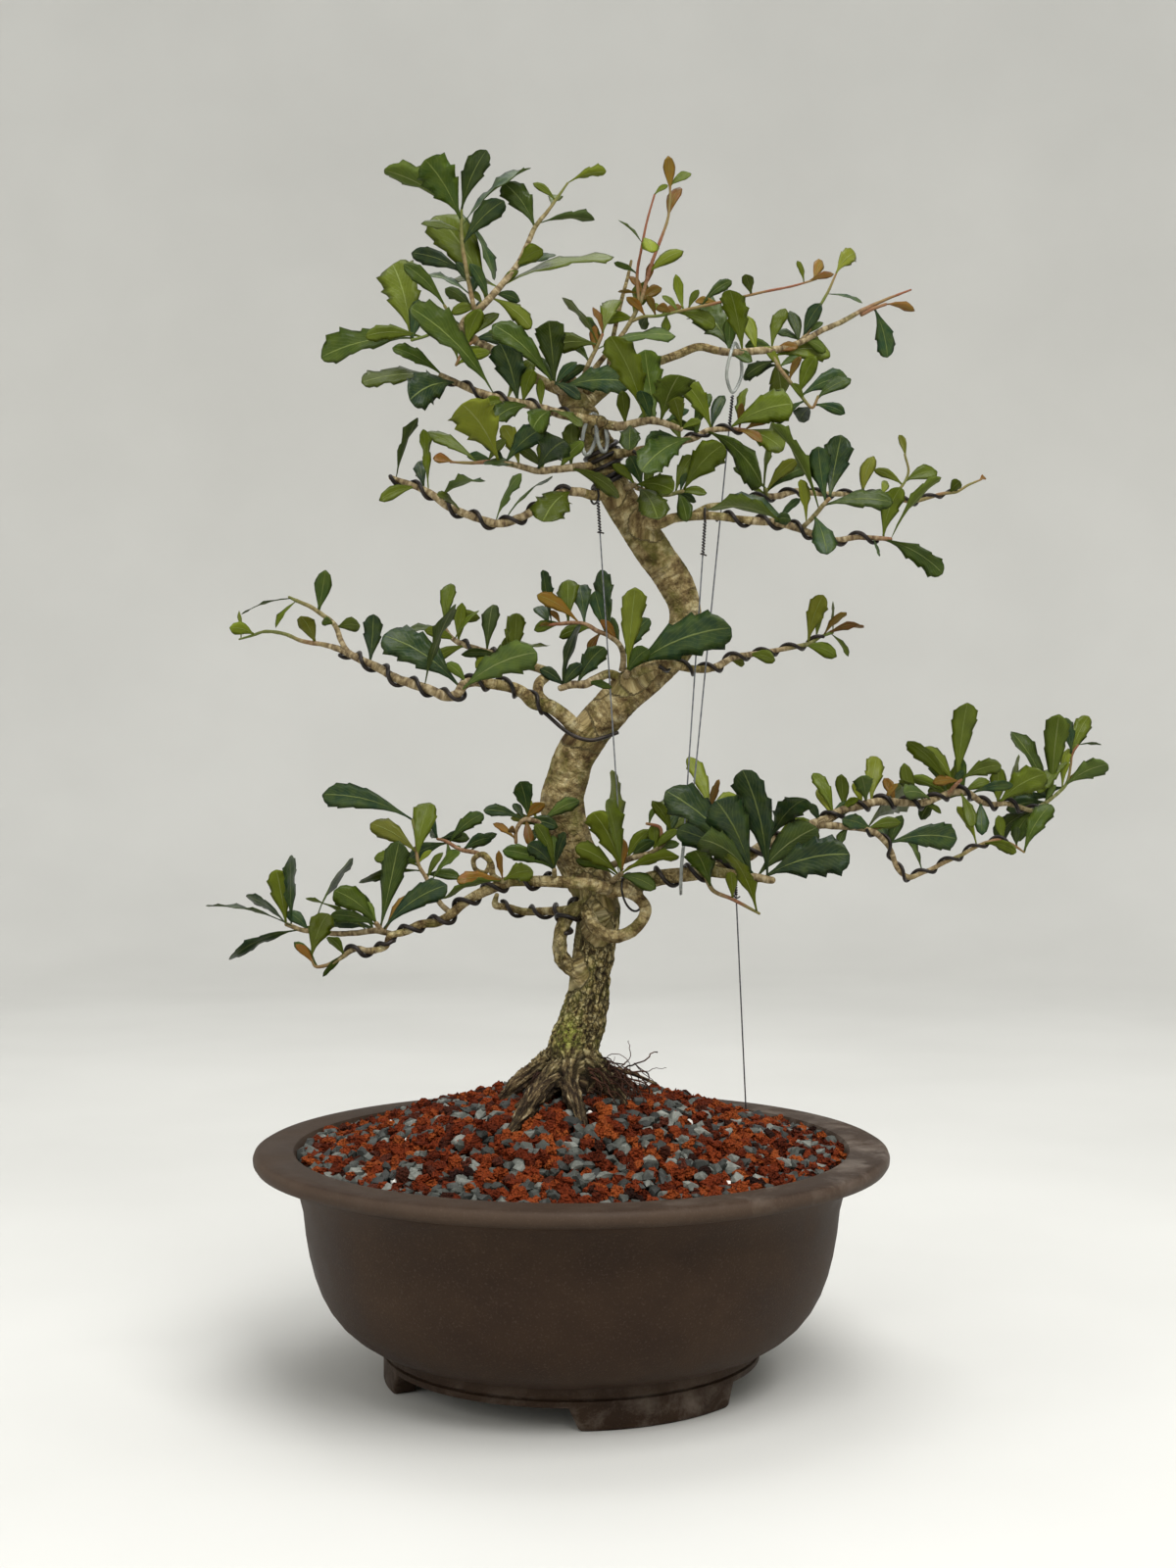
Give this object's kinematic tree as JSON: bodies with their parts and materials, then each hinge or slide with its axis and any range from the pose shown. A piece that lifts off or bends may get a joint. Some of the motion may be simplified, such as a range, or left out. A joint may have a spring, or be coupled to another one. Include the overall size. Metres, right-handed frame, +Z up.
{
  "type": "southern live oak bonsai",
  "caption": "Wired live oak bonsai with a bent trunk, surface roots and sparse leafy shoots, in a round clay pot with a wide rim and low feet.",
  "frame": {"origin": "centre of the bounding box at its lowest level, which is the plane the feet stand on", "axes": "+Z up along the tree, +X to the right and +Y away as seen from the front of the tree"},
  "size_m": [0.4737, 0.33, 0.6335],
  "materials": {
    "clay": "unglazed dark brown stoneware",
    "mesh": "plain plastic screen",
    "gravel": "red lava and blue-grey grit",
    "bark": "pale tan bark with olive algae",
    "leaf_deep": "dark leathery leaf",
    "leaf_mid": "mid green leathery leaf",
    "leaf_olive": "yellow-green leaf",
    "leaf_pale": "pale new leaf",
    "leaf_bronze": "reddish new leaf",
    "wire": "dark anodised",
    "guy": "dull grey",
    "sleeve": "clear tubing"
  },
  "bodies": {
    "root": {"pot": "clay", "drain_screen": "mesh", "soil": "gravel", "trunk": "bark", "leafy_top_left": "leaf_mid", "leafy_left": "leaf_mid", "leafy_centre_top": "leaf_mid", "leafy_centre_back": "leaf_olive", "leafy_red_tips": "leaf_bronze", "leafy_pale_top": "leaf_olive", "leafy_right_fan": "leaf_deep", "leafy_right": "leaf_olive", "leafy_right_trunk": "leaf_olive", "leafy_drop_fork": "leaf_pale", "leafy_drop_right": "leaf_deep", "leafy_left_drop": "leaf_deep", "leafy_mid_left_twig": "leaf_mid", "leafy_mid_left": "leaf_deep", "leafy_back_mid": "leaf_olive", "leafy_arch": "leaf_bronze", "leafy_mid_right_front": "leaf_deep", "leafy_mid_right_left": "leaf_mid", "leafy_mid_right": "leaf_pale", "leafy_rosette": "leaf_deep", "leafy_rosette_low": "leaf_olive", "leafy_inner_right": "leaf_olive", "leafy_low_right_back": "leaf_pale", "leafy_low_right": "leaf_mid", "leafy_low_left_end": "leaf_olive", "leafy_low_left_fan": "leaf_olive", "leafy_low_left_up": "leaf_olive", "leafy_ring": "leaf_mid", "leafy_low_left_front": "leaf_bronze", "leafy_centre_left": "leaf_mid", "leafy_trunk_left": "leaf_deep", "leafy_centre_right": "leaf_olive", "wire_low_left": "wire", "wire_mid_left": "wire", "wire_back_mid": "wire", "wire_mid_right": "wire", "wire_left_drop": "wire", "wire_left": "wire", "wire_right": "wire", "wire_drop_right": "wire", "wire_drop_fork": "wire", "wire_low_right": "wire", "wire_low_fork": "wire", "wire_back_low": "wire", "guy_left": "guy", "guy_right_front": "guy", "guy_right_top": "guy", "guy_pot": "guy", "sleeve_top_right": "sleeve", "sleeve_low_right": "sleeve", "sleeve_crown": "sleeve"}
  },
  "joints": []
}
